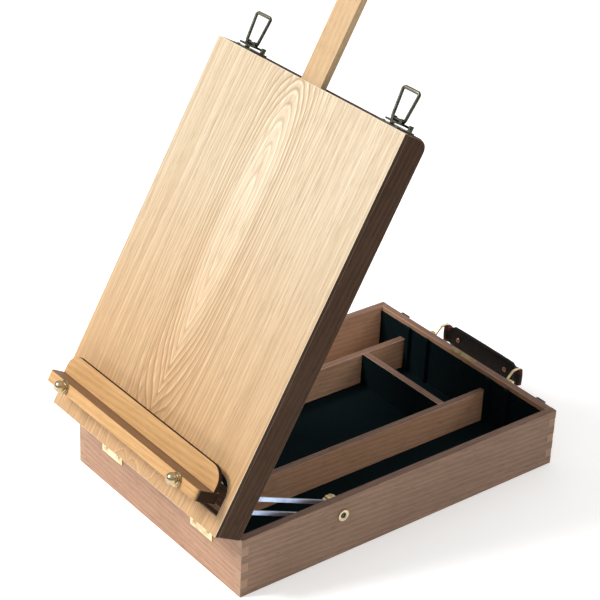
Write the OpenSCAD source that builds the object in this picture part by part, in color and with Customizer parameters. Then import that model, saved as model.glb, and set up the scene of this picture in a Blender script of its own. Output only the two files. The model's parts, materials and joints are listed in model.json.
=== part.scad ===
// Table-top box easel: a finger-jointed paint box whose hinged lid is the drawing board.
// Frame: origin at the middle of the base, +X to the right, +Y to the handle side, +Z up, mm.
// The lid is drawn closed, in box axes, and turned about the hinge pins to its rest angle.

/* [Box] */
// outer width, left to right
box_w = 276; // [200:1:400]
// outer depth, hinge side to handle side
box_d = 400; // [300:1:500]
// height of the side walls
box_h = 64; // [40:1:100]
// thickness of the box walls
wall_t = 8; // [6:0.5:12]
// thickness of the floor board
floor_t = 5.5; // [3:0.5:8]
// height of the floor board above the table
floor_lift = 0; // [0:0.5:8]
// number of interlocking fingers at each box corner
finger_count = 7; // [5:2:11]
// thickness of the felt lining
felt_t = 1.5; // [1:0.5:3]

/* [Tray] */
// height of the divider tops above the table
divider_top = 43; // [25:1:50]
// thickness of the dividers
divider_t = 8; // [5:0.5:10]
// middle of the left divider, from the box centre
left_divider_x = -91; // [-110:1:-50]
// middle of the right divider, from the box centre
right_divider_x = 40.5; // [20:0.5:70]
// middle of the cross divider, from the box centre
cross_divider_y = 134; // [0:1:160]
// width of the felted cleats on the back wall
cleat_w = 6; // [4:1:12]

/* [Lid] */
// rest angle of the lid above closed
lid_angle = 61; // [0:1:75]
// length of the lid
lid_len = 398.5; // [280:0.5:500]
// overall lid thickness
lid_t = 32; // [24:1:45]
// thickness of the veneered panel
panel_t = 4; // [3:0.5:8]
// thickness of the lid rails and end boards
rail_t = 9; // [6:0.5:12]
// radius of the rounded rail corner at the free end
rail_corner_r = 10; // [4:1:14]

/* [Ledge] */
// lower edge of the panel cut-out, from the hinge end of the lid
cut_low = 16; // [12:0.5:30]
// height of the panel cut-out
cut_h = 35.5; // [25:0.5:60]
// length of the ledge
ledge_len = 252; // [180:1:256]
// depth of the ledge base bar
ledge_depth = 26; // [20:1:34]
// height of the ledge base bar
ledge_h = 11; // [8:0.5:16]
// stand-off of the front of the ledge from the panel
ledge_out = 32; // [20:0.5:40]
// lower face of the ledge, from the hinge end of the lid
ledge_low = 26.4; // [18:0.2:40]
// height of the back strip above the shelf
strip_h = 21.9; // [12:0.1:40]
// thickness of the back strip
strip_t = 5; // [3:0.5:8]

/* [Mast] */
// width of the sliding mast
mast_w = 29; // [20:1:40]
// thickness of the mast
mast_t = 8; // [6:0.5:12]
// length of the mast
mast_len = 350; // [250:1:370]
// how far the mast stands out of the lid at rest
mast_out = 176; // [40:1:200]
// width of the canvas clamp
clamp_w = 62; // [40:1:90]

/* [Stays] */
// width of the slotted stays
stay_w = 18.6; // [12:0.2:20]
// width of the slot in the stays
slot_w = 9.6; // [5:0.1:12]
// distance of the lid pivot from the hinge axis, along the lid
pivot_along = 30; // [20:1:45]
// height of the lid pivot above the hinge axis, with the lid closed
pivot_up = 10; // [6:1:20]

/* [Handle] */
// height of the leather strap
strap_h = 24; // [16:1:30]
// thickness of the leather strap
strap_leather_t = 5; // [3:0.5:8]
// distance of the strap from its pivots
strap_out = 17.7; // [15:0.1:25]

/* [Hidden] */
$fn = 48;
running_gap = 0.05;
small_gap = 0.3;
half_w = box_w / 2;
half_d = box_d / 2;
inner_w = box_w - 2 * wall_t;
inner_d = box_d - 2 * wall_t;
finger_h = box_h / finger_count;
floor_top = floor_lift + floor_t;
felt_top = floor_top + felt_t;
felt_h = box_h - 5 - felt_top;
cleat_xs = [-81, -51, 48, 76];
bay_d = inner_d - 2 * felt_t;
cut_eps = 1;

pin_r = 1.3;
knuckle_r = 2.8;
leaf_t = 1.4;
leaf_w = 35;
leaf_h = 26;
leaf_gap = 0.1;
hinge_x = 76;
segment_count = 5;
segment_w = leaf_w / segment_count;
hinge_y = -half_d - knuckle_r;
hinge_z = box_h - 0.3;
rim_z = box_h + 0.2;
lid_front = hinge_y + 1.3;
lid_back = lid_front + lid_len;
lid_top = rim_z + lid_t;
frame_h = lid_t - panel_t;
frame_in = half_w - rail_t;
cut_w = 2 * frame_in - 1;
cut_corner_r = 16;

ledge_front_z = lid_top + ledge_out;
ledge_y = lid_front + ledge_low;
shelf_y = ledge_y + ledge_h;
strip_front_z = lid_top + 14.1;
end_r = 6;
strip_r = 15;
knob_x = 95;
knob_y = ledge_y + ledge_h / 2;
bolt_r = 3;
bolt_len = 56;
batten_z = rim_z + 19.5;
batten_h = 7.5;
batten_w = 16;

mast_z = lid_top - panel_t - small_gap - mast_t;
mast_top_y = lid_back + mast_out;
guide_in = mast_w / 2 + small_gap;
guide_w = 8;
guide_y = 20;
bridge_t = 5;
bridge_len = 20;
bridge_y = 150;
lock_y = bridge_y + bridge_len / 2;
lock_z = mast_z - small_gap;
clamp_y = mast_top_y - 34;
clamp_h = 26;
clamp_reach = 24;

catch_x = 108;
catch_z = rim_z + 16;
lever_pin_y = lid_back + 4.2;
lever_pin_z = catch_z - 7;
lever_pin_r = 1.1;
ear_x = 11.8;
loop_pin_y = lid_back + 6.6;
loop_len = 28;
loop_t = 2.2;
wire_r = 1.2;
keeper_z = 59;

stay_x = half_w - 15;
stay_t = 2;
stud_r = 1.8;
stud_y = -80.5;
stud_z = 45.6;
pivot_r = 2.5;
pivot_y = hinge_y + pivot_along;
pivot_z = hinge_z + pivot_up;
pivot_rest_y = hinge_y + pivot_along * cos(lid_angle) - pivot_up * sin(lid_angle);
pivot_rest_z = hinge_z + pivot_along * sin(lid_angle) + pivot_up * cos(lid_angle);
stay_drop = 0.648;
stay_tilt = atan2(stud_z - pivot_rest_z, stud_y - pivot_rest_y) - stay_drop;
slot_near = 20;
slot_far = 128;

handle_y = half_d + 7;
handle_z = 55;
handle_x = 62;
pin_handle_r = 1.6;
ring_x = handle_x - 5;
ring_t = 2.6;

walnut = [0.47, 0.37, 0.31];
dark_walnut = [0.31, 0.24, 0.20];
ash = [0.90, 0.79, 0.61];
beech = [0.85, 0.66, 0.44];
felt = [0.03, 0.09, 0.10];
brass = [0.80, 0.68, 0.38];
steel = [0.63, 0.68, 0.78];
black = [0.07, 0.06, 0.06];

// ---------- helpers ----------
module block(x0, x1, y0, y1, z0, z1)
  translate([x0, y0, z0]) cube([x1 - x0, y1 - y0, z1 - z0]);

module rod_x(x0, x1, y, z, r)
  translate([x0, y, z]) rotate([0, 90, 0]) cylinder(h = x1 - x0, r = r);

module rod_y(x, y0, y1, z, r)
  translate([x, y0, z]) rotate([-90, 0, 0]) cylinder(h = y1 - y0, r = r);

module rod_z(x, y, z0, z1, r)
  translate([x, y, z0]) cylinder(h = z1 - z0, r = r);

module on_lid()
  translate([0, hinge_y, hinge_z])
    rotate([lid_angle, 0, 0])
      translate([0, -hinge_y, -hinge_z])
        children();

module mirrored(side)
  mirror([side > 0 ? 0 : 1, 0, 0]) children();

// ---------- box ----------
module box_floor()
  color(walnut) block(-inner_w / 2, inner_w / 2, -inner_d / 2, inner_d / 2, floor_lift, floor_top);

module side_wall(side)
  color(walnut) mirrored(side)
    difference() {
      block(half_w - wall_t, half_w, -half_d, half_d, 0, box_h);
      for (i = [1 : 2 : finger_count - 1])
        for (y = [-half_d - cut_eps, half_d - wall_t])
          block(half_w - wall_t - cut_eps, half_w + cut_eps, y, y + wall_t + cut_eps,
                i * finger_h, (i + 1) * finger_h);
      rod_x(half_w - wall_t - cut_eps, half_w + cut_eps, stud_y, stud_z, stud_r);
    }

module end_wall(end)
  color(walnut) mirror([0, end > 0 ? 0 : 1, 0])
    difference() {
      block(-half_w, half_w, half_d - wall_t, half_d, 0, box_h);
      for (i = [0 : 2 : finger_count - 1])
        for (x = [-half_w - cut_eps, half_w - wall_t])
          block(x, x + wall_t + cut_eps, half_d - wall_t - cut_eps, half_d + cut_eps,
                i == 0 ? -cut_eps : i * finger_h,
                i == finger_count - 1 ? box_h + cut_eps : (i + 1) * finger_h);
      if (end > 0) rim_recess();
      if (end < 0) mirror([0, 1, 0]) knuckle_notch();
    }

module rim_recess()
  block(-18, 18, half_d - wall_t - cut_eps, half_d - 2, box_h - 1, box_h + cut_eps);

module rim_plate()
  color(brass) block(-18, 18, half_d - wall_t, half_d - 2, box_h - 1, box_h);

module floor_felt()
  color(felt) block(-inner_w / 2, inner_w / 2, -inner_d / 2, inner_d / 2, floor_top, felt_top);

module end_felt(end)
  color(felt) mirror([0, end > 0 ? 0 : 1, 0])
    block(-inner_w / 2, inner_w / 2, inner_d / 2 - felt_t, inner_d / 2, felt_top, felt_top + felt_h);

module long_divider(x)
  color(walnut) block(x - divider_t / 2, x + divider_t / 2, -bay_d / 2, bay_d / 2, felt_top, divider_top);

module cross_divider()
  color(walnut)
    block(left_divider_x + divider_t / 2, right_divider_x - divider_t / 2,
          cross_divider_y - divider_t / 2, cross_divider_y + divider_t / 2, felt_top, divider_top);

module cross_felt()
  color(felt)
    block(left_divider_x + divider_t / 2, right_divider_x - divider_t / 2,
          cross_divider_y - divider_t / 2 - felt_t, cross_divider_y - divider_t / 2, felt_top, divider_top);

module cleats()
  color(felt)
    for (x = cleat_xs)
      block(x - cleat_w / 2, x + cleat_w / 2, bay_d / 2 - 4, bay_d / 2, felt_top, felt_top + felt_h + 2);

// ---------- hinges ----------
module knuckles(x, first)
  for (i = [first : 2 : segment_count - 1])
    difference() {
      rod_x(x - leaf_w / 2 + i * segment_w + leaf_gap, x - leaf_w / 2 + (i + 1) * segment_w - leaf_gap,
            hinge_y, hinge_z, knuckle_r);
      rod_x(x - leaf_w, x + leaf_w, hinge_y, hinge_z, pin_r + running_gap);
    }

module knuckle_clearance(x, first)
  for (i = [first : 2 : segment_count - 1])
    rod_x(x - leaf_w / 2 + i * segment_w, x - leaf_w / 2 + (i + 1) * segment_w,
          hinge_y, hinge_z, knuckle_r + small_gap);

module leaf(x, face_y, z0, z1, first)
  color(brass)
    union() {
      difference() {
        block(x - leaf_w / 2, x + leaf_w / 2, face_y - leaf_t, face_y, z0, z1);
        knuckle_clearance(x, 1 - first);
        rod_x(x - leaf_w, x + leaf_w, hinge_y, hinge_z, pin_r + running_gap);
      }
      knuckles(x, first);
      for (sx = [-1, 1])
        for (sz = [0.22, 0.64])
          rod_y(x + sx * leaf_w * 0.3, face_y - leaf_t - 0.7, face_y - leaf_t,
                first == 0 ? z0 + sz * leaf_h : z1 - sz * leaf_h, 2.6);
    }

module box_leaf(side)
  leaf(side * hinge_x, -half_d, hinge_z - leaf_h, hinge_z, 0);

module lid_leaf(side)
  on_lid() leaf(side * hinge_x, lid_front, hinge_z, hinge_z + leaf_h, 1);

module hinge_pin(x)
  color(brass) rod_x(x - leaf_w / 2 - 0.6, x + leaf_w / 2 + 0.6, hinge_y, hinge_z, pin_r);

// ---------- lid ----------
module cut_outline()
  union() {
    translate([-cut_w / 2, lid_front + cut_low]) square([cut_w, cut_h - cut_corner_r]);
    translate([-cut_w / 2 + cut_corner_r, lid_front + cut_low]) square([cut_w - 2 * cut_corner_r, cut_h]);
    for (sx = [-1, 1])
      translate([sx * (cut_w / 2 - cut_corner_r), lid_front + cut_low + cut_h - cut_corner_r])
        circle(r = cut_corner_r);
  }

module lid_panel()
  color(ash) on_lid()
    difference() {
      block(-half_w, half_w, lid_front, lid_back, lid_top - panel_t, lid_top);
      translate([0, 0, lid_top - panel_t - cut_eps]) linear_extrude(panel_t + 2 * cut_eps) cut_outline();
    }

module rail(side)
  color(dark_walnut) on_lid() mirrored(side)
    difference() {
      block(frame_in, half_w, lid_front, lid_back, rim_z, rim_z + frame_h);
      difference() {
        block(frame_in - cut_eps, half_w + cut_eps, lid_back - rail_corner_r, lid_back + cut_eps,
              rim_z - cut_eps, rim_z + rail_corner_r);
        rod_x(frame_in - 2 * cut_eps, half_w + 2 * cut_eps, lid_back - rail_corner_r,
              rim_z + rail_corner_r, rail_corner_r);
      }
    }

module knuckle_notch()
  for (sx = [-1, 1])
    rod_x(sx * hinge_x - leaf_w / 2 - 0.8, sx * hinge_x + leaf_w / 2 + 0.8,
          hinge_y, hinge_z, knuckle_r + small_gap);

module hinge_end_board()
  color(dark_walnut) on_lid()
    difference() {
      block(-frame_in, frame_in, lid_front, lid_front + rail_t, rim_z, rim_z + frame_h);
      knuckle_notch();
    }

module free_end_board()
  color(dark_walnut) on_lid()
    difference() {
      block(-frame_in, frame_in, lid_back - rail_t, lid_back, rim_z, rim_z + frame_h);
      block(-guide_in, guide_in, lid_back - rail_t - cut_eps, lid_back + cut_eps,
            mast_z - small_gap, lid_top);
    }

module mast_guides()
  color(beech) on_lid()
    for (side = [0, 1])
      mirror([side, 0, 0])
        block(guide_in, guide_in + guide_w, guide_y, lid_back - rail_t, mast_z - small_gap, rim_z + frame_h);

module mast_bridge()
  color(beech) on_lid()
    difference() {
      for (y = [guide_y + 10, bridge_y])
        block(-guide_in - guide_w, guide_in + guide_w, y, y + bridge_len, lock_z - bridge_t, lock_z);
      rod_z(0, lock_y, lock_z - bridge_t - cut_eps, lock_z + cut_eps, pivot_r + running_gap);
    }

module thumb_screw(y, z_head, z_tip)
  color(brass) on_lid()
    union() {
      rod_z(0, y, z_head, z_tip, pivot_r);
      difference() {
        rod_z(0, y, z_head, z_head + 8, 8);
        for (a = [0 : 45 : 315])
          rod_z(9.4 * cos(a), y + 9.4 * sin(a), z_head - cut_eps, z_head + 9, 2.2);
      }
    }

module ledge_batten()
  color(dark_walnut) on_lid()
    difference() {
      block(-frame_in, frame_in, knob_y - batten_w / 2, knob_y + batten_w / 2, batten_z, batten_z + batten_h);
      for (sx = [-1, 1])
        rod_z(sx * knob_x, knob_y, batten_z - cut_eps, batten_z + batten_h + cut_eps, bolt_r + running_gap);
    }

module catch_plate(side)
  color(black) on_lid() mirrored(side)
    union() {
      block(catch_x - 13, catch_x + 13, lid_back, lid_back + 1.2, catch_z - 13, catch_z + 11);
      difference() {
        for (sx = [-1, 1])
          block(catch_x + sx * ear_x - 0.8, catch_x + sx * ear_x + 0.8, lid_back, lid_back + 6.6,
                lever_pin_z - 2.6, lever_pin_z + 2.6);
        rod_x(catch_x - 20, catch_x + 20, lever_pin_y, lever_pin_z, lever_pin_r + running_gap);
      }
    }

module stay_pivot(side)
  color(brass) on_lid() mirrored(side)
    union() {
      rod_x(stay_x - 3, frame_in, pivot_y, pivot_z, pivot_r);
      rod_x(stay_x + stay_t + small_gap, frame_in, pivot_y, pivot_z, 4.5);
      rod_x(stay_x - 3, stay_x - small_gap, pivot_y, pivot_z, 4.5);
    }

// ---------- ledge ----------
module base_outline()
  union() {
    translate([-ledge_len / 2, 0]) square([ledge_len, ledge_depth - end_r]);
    translate([-ledge_len / 2 + end_r, 0]) square([ledge_len - 2 * end_r, ledge_depth]);
    for (sx = [-1, 1])
      translate([sx * (ledge_len / 2 - end_r), ledge_depth - end_r]) circle(r = end_r);
  }

module ledge_base()
  color(beech) on_lid()
    difference() {
      translate([0, shelf_y, ledge_front_z - ledge_depth])
        rotate([90, 0, 0]) linear_extrude(ledge_h) base_outline();
      for (sx = [-1, 1])
        rod_z(sx * knob_x, knob_y, ledge_front_z - ledge_depth - cut_eps, ledge_front_z + cut_eps, bolt_r);
    }

module strip_outline()
  union() {
    translate([-ledge_len / 2, 0]) square([ledge_len, strip_h - strip_r]);
    translate([-ledge_len / 2 + strip_r, 0]) square([ledge_len - 2 * strip_r, strip_h]);
    for (sx = [-1, 1])
      translate([sx * (ledge_len / 2 - strip_r), strip_h - strip_r]) circle(r = strip_r);
  }

module ledge_strip()
  color(beech) on_lid()
    intersection() {
      translate([0, shelf_y, strip_front_z - strip_t]) linear_extrude(strip_t) strip_outline();
      block(-half_w, half_w, shelf_y, shelf_y + strip_h, strip_front_z - strip_t, strip_front_z);
    }

module ledge_bolt(side)
  color(brass) on_lid()
    union() {
      rod_z(side * knob_x, knob_y, ledge_front_z - bolt_len, ledge_front_z + 2, bolt_r);
      rod_z(side * knob_x, knob_y, ledge_front_z - bolt_len + 1, ledge_front_z - bolt_len + 4.5, 5.5);
    }

module ledge_knob(side)
  color(brass) on_lid()
    difference() {
      union() {
        rod_z(side * knob_x, knob_y, ledge_front_z + 0.2, ledge_front_z + 1.4, 7);
        rod_z(side * knob_x, knob_y, ledge_front_z + 1.4, ledge_front_z + 3.4, 4.6);
        translate([side * knob_x, knob_y, ledge_front_z + 6.2]) sphere(r = 5.8);
      }
      rod_z(side * knob_x, knob_y, ledge_front_z - cut_eps, ledge_front_z + 2.2, bolt_r + running_gap);
    }

// ---------- mast ----------
module mast()
  color(beech) on_lid()
    block(-mast_w / 2, mast_w / 2, mast_top_y - mast_len, mast_top_y, mast_z, mast_z + mast_t);

module canvas_clamp()
  color(beech) on_lid()
    difference() {
      union() {
        block(-clamp_w / 2, clamp_w / 2, clamp_y, clamp_y + clamp_h, mast_z - 7, mast_z + mast_t + 8);
        block(-clamp_w / 2, clamp_w / 2, clamp_y + clamp_h - 8, clamp_y + clamp_h,
              mast_z + mast_t + 8, mast_z + mast_t + clamp_reach);
        block(-clamp_w / 2, clamp_w / 2, clamp_y, clamp_y + clamp_h, mast_z + mast_t + clamp_reach,
              mast_z + mast_t + clamp_reach + 6);
      }
      block(-mast_w / 2 - small_gap, mast_w / 2 + small_gap, clamp_y - cut_eps, clamp_y + clamp_h + cut_eps,
            mast_z - small_gap, mast_z + mast_t + small_gap);
      rod_z(0, clamp_y + clamp_h / 2, mast_z - 8, mast_z, pivot_r + running_gap);
    }

// ---------- catches ----------
module catch_lever(side)
  color(black) on_lid() mirrored(side)
    union() {
      rod_x(catch_x - ear_x - 1, catch_x + ear_x + 1, lever_pin_y, lever_pin_z, lever_pin_r);
      block(catch_x - 7.2, catch_x + 7.2, lid_back + 3.3, lid_back + 5.1, lever_pin_z, catch_z + 9);
      difference() {
        for (sx = [-1, 1])
          block(catch_x + sx * 5.8 - 1.4, catch_x + sx * 5.8 + 1.4, lid_back + 5.1, loop_pin_y + 2.4,
                catch_z - 2.4, catch_z + 2.4);
        rod_x(catch_x - 20, catch_x + 20, loop_pin_y, catch_z, wire_r + running_gap);
      }
    }

module loop_outline()
  difference() {
    polygon([[-9.6, -1], [9.6, -1], [12.4, loop_len + 2], [-12.4, loop_len + 2]]);
    polygon([[-7.6, 2.8], [7.6, 2.8], [9.9, loop_len - 1.6], [-9.9, loop_len - 1.6]]);
    translate([-7.6, -2]) square([15.2, 5]);
  }

module catch_loop(side)
  color(black) on_lid() mirrored(side)
    union() {
      rod_x(catch_x - 8.6, catch_x + 8.6, loop_pin_y, catch_z, wire_r);
      translate([catch_x, loop_pin_y, catch_z - loop_t / 2]) linear_extrude(loop_t) loop_outline();
    }

module keeper(side)
  color(black) mirrored(side)
    union() {
      block(catch_x - 9, catch_x + 9, half_d, half_d + 1.2, keeper_z - 17, keeper_z + 3);
      block(catch_x - 6, catch_x + 6, half_d + 1.2, half_d + 8.8, keeper_z - 1.6, keeper_z);
      block(catch_x - 6, catch_x + 6, half_d + 7.4, half_d + 8.8, keeper_z - 3.4, keeper_z - 1.6);
    }

// ---------- stays ----------
module stay_outline()
  difference() {
    union() {
      translate([0, -stay_w / 2]) square([slot_far, stay_w]);
      circle(r = stay_w / 2);
      translate([slot_far, 0]) circle(r = stay_w / 2);
    }
    circle(r = pivot_r + running_gap);
    translate([slot_near, -slot_w / 2]) square([slot_far - slot_near, slot_w]);
    for (x = [slot_near, slot_far])
      translate([x, 0]) circle(r = slot_w / 2);
  }

module stay(side)
  color(steel) mirrored(side)
    translate([stay_x, pivot_rest_y, pivot_rest_z])
      rotate([stay_tilt, 0, 0])
        rotate([90, 0, 90])
          linear_extrude(stay_t) stay_outline();

module stay_bolt(side)
  color(brass) mirrored(side)
    union() {
      rod_x(stay_x - 9, half_w + 0.8, stud_y, stud_z, stud_r);
      rod_x(stay_x + stay_t + small_gap, half_w - wall_t, stud_y, stud_z, 6.5);
      difference() {
        rod_x(half_w, half_w + 1.8, stud_y, stud_z, 6);
        rod_x(half_w + 0.8, half_w + 3, stud_y, stud_z, 4);
      }
    }

module stay_nut(side)
  color(brass) mirrored(side)
    difference() {
      union() {
        rod_x(stay_x - 1.5, stay_x - small_gap, stud_y, stud_z, 9);
        rod_x(stay_x - 9, stay_x - 1.5, stud_y, stud_z, 10);
      }
      rod_x(stay_x - 10, stay_x, stud_y, stud_z, stud_r + running_gap);
      for (a = [0 : 30 : 330])
        rod_x(stay_x - 10, stay_x - 1.5, stud_y + 11.2 * cos(a), stud_z + 11.2 * sin(a), 1.9);
    }

// ---------- handle ----------
module handle_post(side)
  color(brass) mirrored(side)
    difference() {
      union() {
        block(handle_x - 6, handle_x + 6, half_d, half_d + 1.5, handle_z - 11, handle_z + 7);
        block(handle_x - 3, handle_x + 3, half_d + 1.5, handle_y + 3.2, handle_z - 3.2, handle_z + 3.2);
      }
      rod_x(handle_x - 20, handle_x + 20, handle_y, handle_z, pin_handle_r + running_gap);
    }

module ring_outline()
  difference() {
    polygon([[-2, -3], [8, -12], [strap_out + 1.3, -12], [strap_out + 1.3, 12], [8, 12], [-2, 3]]);
    polygon([[2.4, -1.6], [9.2, -9.4], [strap_out - 1.3, -9.4], [strap_out - 1.3, 9.4], [9.2, 9.4], [2.4, 1.6]]);
  }

module handle_ring(side)
  color(brass) mirrored(side)
    union() {
      rod_x(ring_x, handle_x + 5, handle_y, handle_z, pin_handle_r);
      translate([ring_x - ring_t / 2, handle_y, handle_z])
        rotate([90, 0, 90]) linear_extrude(ring_t) ring_outline();
    }

module handle_strap()
  color(black) translate([0, handle_y + strap_out, handle_z])
    difference() {
      union() {
        block(-ring_x + 7, ring_x - 7, -strap_leather_t / 2, strap_leather_t / 2, -strap_h / 2, strap_h / 2);
        block(-ring_x, ring_x, -strap_leather_t / 2, strap_leather_t / 2, -8.8, 8.8);
        for (sx = [-1, 1])
          rod_z(sx * ring_x, 0, -8.8, 8.8, 4.2);
      }
      for (sx = [-1, 1])
        rod_z(sx * ring_x, 0, -10, 10, 1.95);
    }

box_floor();
end_wall(-1);  // front_wall
end_wall(1);  // back_wall
side_wall(-1);  // left_wall
side_wall(1);  // right_wall
floor_felt();
end_felt(-1);  // front_felt
end_felt(1);  // back_felt
cross_felt();
long_divider(left_divider_x);  // left_divider
long_divider(right_divider_x);  // right_divider
cross_divider();
cleats();
rim_plate();
box_leaf(-1);  // left_box_leaf
box_leaf(1);  // right_box_leaf
hinge_pin(-hinge_x);  // left_hinge_pin
hinge_pin(hinge_x);  // right_hinge_pin
keeper(-1);  // left_keeper
keeper(1);  // right_keeper
handle_post(-1);  // left_handle_post
handle_post(1);  // right_handle_post
stay_bolt(-1);  // left_stay_bolt
stay_bolt(1);  // right_stay_bolt
lid_panel();
rail(-1);  // left_rail
rail(1);  // right_rail
hinge_end_board();
free_end_board();
lid_leaf(-1);  // left_lid_leaf
lid_leaf(1);  // right_lid_leaf
mast_guides();
mast_bridge();
ledge_batten();
catch_plate(-1);  // left_catch_plate
catch_plate(1);  // right_catch_plate
stay_pivot(-1);  // left_stay_pivot
stay_pivot(1);  // right_stay_pivot
ledge_base();
ledge_strip();
ledge_bolt(-1);  // left_ledge_bolt
ledge_bolt(1);  // right_ledge_bolt
ledge_knob(-1);  // left_ledge_knob
ledge_knob(1);  // right_ledge_knob
mast();
thumb_screw(lock_y, rim_z + 2, mast_z - small_gap);  // mast_lock
canvas_clamp();
thumb_screw(clamp_y + clamp_h / 2, mast_z - 18, mast_z - small_gap);  // clamp_screw
catch_lever(-1);  // left_catch_lever
catch_lever(1);  // right_catch_lever
catch_loop(-1);  // left_catch_loop
catch_loop(1);  // right_catch_loop
stay(-1);  // left_stay
stay(1);  // right_stay
stay_nut(-1);  // left_stay_nut
stay_nut(1);  // right_stay_nut
handle_strap();
handle_ring(-1);  // left_handle_ring
handle_ring(1);  // right_handle_ring
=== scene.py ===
"""Looks of the table-top box easel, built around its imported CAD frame."""

import json
import math

import bmesh
import bpy
from mathutils import Matrix, Vector
from mathutils import noise as mnoise


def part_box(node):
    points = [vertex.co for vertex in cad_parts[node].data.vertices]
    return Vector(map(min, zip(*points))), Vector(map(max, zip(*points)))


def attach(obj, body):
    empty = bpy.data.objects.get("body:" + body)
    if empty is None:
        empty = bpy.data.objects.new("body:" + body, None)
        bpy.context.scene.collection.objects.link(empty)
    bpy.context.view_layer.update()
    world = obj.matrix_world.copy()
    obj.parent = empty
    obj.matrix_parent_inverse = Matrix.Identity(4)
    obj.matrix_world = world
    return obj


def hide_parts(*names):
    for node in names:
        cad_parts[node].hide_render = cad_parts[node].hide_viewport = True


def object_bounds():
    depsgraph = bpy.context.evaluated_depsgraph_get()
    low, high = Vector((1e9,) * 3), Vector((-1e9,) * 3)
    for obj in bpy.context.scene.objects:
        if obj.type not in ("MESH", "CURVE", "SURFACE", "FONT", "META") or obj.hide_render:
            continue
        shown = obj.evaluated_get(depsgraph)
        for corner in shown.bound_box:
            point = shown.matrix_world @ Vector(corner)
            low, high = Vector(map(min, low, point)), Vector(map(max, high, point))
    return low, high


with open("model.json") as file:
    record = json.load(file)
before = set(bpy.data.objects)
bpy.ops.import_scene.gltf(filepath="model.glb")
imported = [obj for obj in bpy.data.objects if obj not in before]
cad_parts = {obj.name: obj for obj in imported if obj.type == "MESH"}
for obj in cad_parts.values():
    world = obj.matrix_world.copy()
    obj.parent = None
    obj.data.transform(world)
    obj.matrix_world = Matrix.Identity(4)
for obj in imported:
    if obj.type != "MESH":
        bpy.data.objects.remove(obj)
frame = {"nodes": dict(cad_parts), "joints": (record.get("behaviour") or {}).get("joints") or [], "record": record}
cad_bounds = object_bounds()

MM = 0.001
NODES = frame["nodes"]
JOINTS = {j["name"]: j for j in frame["joints"]}
BODY_OF = {n: b for b, ns in frame["record"]["behaviour"]["bodies"].items() for n in ns}

# The lid's own frame: ALONG runs up the board, OUT stands off its face, HINGE is on the pins.
ALONG = Vector(JOINTS["mast_slide"]["axis"])
OUT = Vector(JOINTS["ledge_slide"]["axis"])
HINGE = Vector(JOINTS["lid_hinge"]["pos_m"])
RIGHT = Vector((1, 0, 0))
BACK = Vector((0, 1, 0))
UP = Vector((0, 0, 1))
SIDES = (("left", -1), ("right", 1))
LID_ANGLE = math.atan2(ALONG.z, ALONG.y)


def lid_point(x, along, out):
    """Point of a place given in the lid's own frame, in metres."""
    return HINGE + RIGHT * x + ALONG * along + OUT * out


def middle_of(box):
    """Centre of a box given as its lowest and highest corner."""
    low, high = box
    return (low + high) / 2


def lid_box(node):
    """Lowest and highest (x, along, out) of a CAD node in the lid's own frame."""
    points = [v.co for v in NODES[node].data.vertices]
    rows = [(p.x, (p - HINGE).dot(ALONG), (p - HINGE).dot(OUT)) for p in points]
    return Vector(map(min, zip(*rows))), Vector(map(max, zip(*rows)))


# ---------------------------------------------------------------- driving values

# Where the rings of the panel centre, along the lid from the hinge pins, and how they close.
LENS_X = -0.0085
LENS_ALONG = 0.2595
LENS_HALF = 0.0135
LENS_SPREAD = 0.027
LENS_REACH = 0.122
LENS_ARCH = 0.007
LENS_POINT = 0.0012
ARCH_POWER = 2.9
POINT_POWER = 1.9
RING_PITCH = 0.0042
RING_STOPS = ((0.0, 0.1), (0.16, 0.55), (0.48, 0.55), (0.64, 1), (0.76, 1), (0.88, 0.0))
FADE_STOPS = ((0.034, 1), (0.05, 0.62), (0.1, 0.32))
RING_REST = 0.64
RING_UNEVEN = 150.0
PALE_CORE = (0.74, 0.66, 0.53)
WARM_LOW = (0.93, 0.64, 0.36)
WARM_PATCH = (0.90, 0.78, 0.60)

WALNUT_LIGHT = (0.60, 0.375, 0.25)
WALNUT_DARK = (0.40, 0.245, 0.16)
# Painted shade: a darker copy of the walnut for the up-facing faces of the boards.
TOP_SHADE_LIGHT = (0.33, 0.20, 0.145)
TOP_SHADE_DARK = (0.22, 0.13, 0.09)
# Painted shade: a darker copy of the walnut for the side walls' outer faces and ends.
SIDE_SHADE_LIGHT = (0.40, 0.255, 0.17)
SIDE_SHADE_DARK = (0.26, 0.165, 0.108)
# Painted light: a lighter copy of the walnut for the dividers and the walls' inside faces, which get little light
# inside the box.
INSIDE_LIT_LIGHT = (0.88, 0.585, 0.395)
INSIDE_LIT_DARK = (0.62, 0.40, 0.26)
RAIL_LIGHT = (0.125, 0.076, 0.050)
RAIL_DARK = (0.075, 0.045, 0.030)
ASH_LIGHT = (0.735, 0.665, 0.53)
ASH_DARK = (0.38, 0.265, 0.15)
BEECH_LIGHT = (0.70, 0.455, 0.215)
BEECH_DARK = (0.50, 0.295, 0.12)
MAST_LIGHT = (0.61, 0.45, 0.27)
MAST_DARK = (0.50, 0.345, 0.19)
# Painted shade: a darker copy of the beech for the shelf's face that looks up the lid.
SHELF_SHADE_LIGHT = (0.33, 0.19, 0.095)
SHELF_SHADE_DARK = (0.22, 0.12, 0.06)
# Painted shade: a near-black tone for the ledge's edge and end faces.
EDGE_SHADE_LIGHT = (0.070, 0.036, 0.020)
EDGE_SHADE_DARK = (0.038, 0.019, 0.011)

# Meshing: what counts as one point (metres), as flat, as a hard edge, as smooth, and as facing one way.
WELD = 1e-6
FLAT_DEG = 0.4
SHARP_DEG = 38
SMOOTH_DEG = 34
FACING = 0.9
SIDEWAYS = 0.75
EDGEWISE = 0.5

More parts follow.
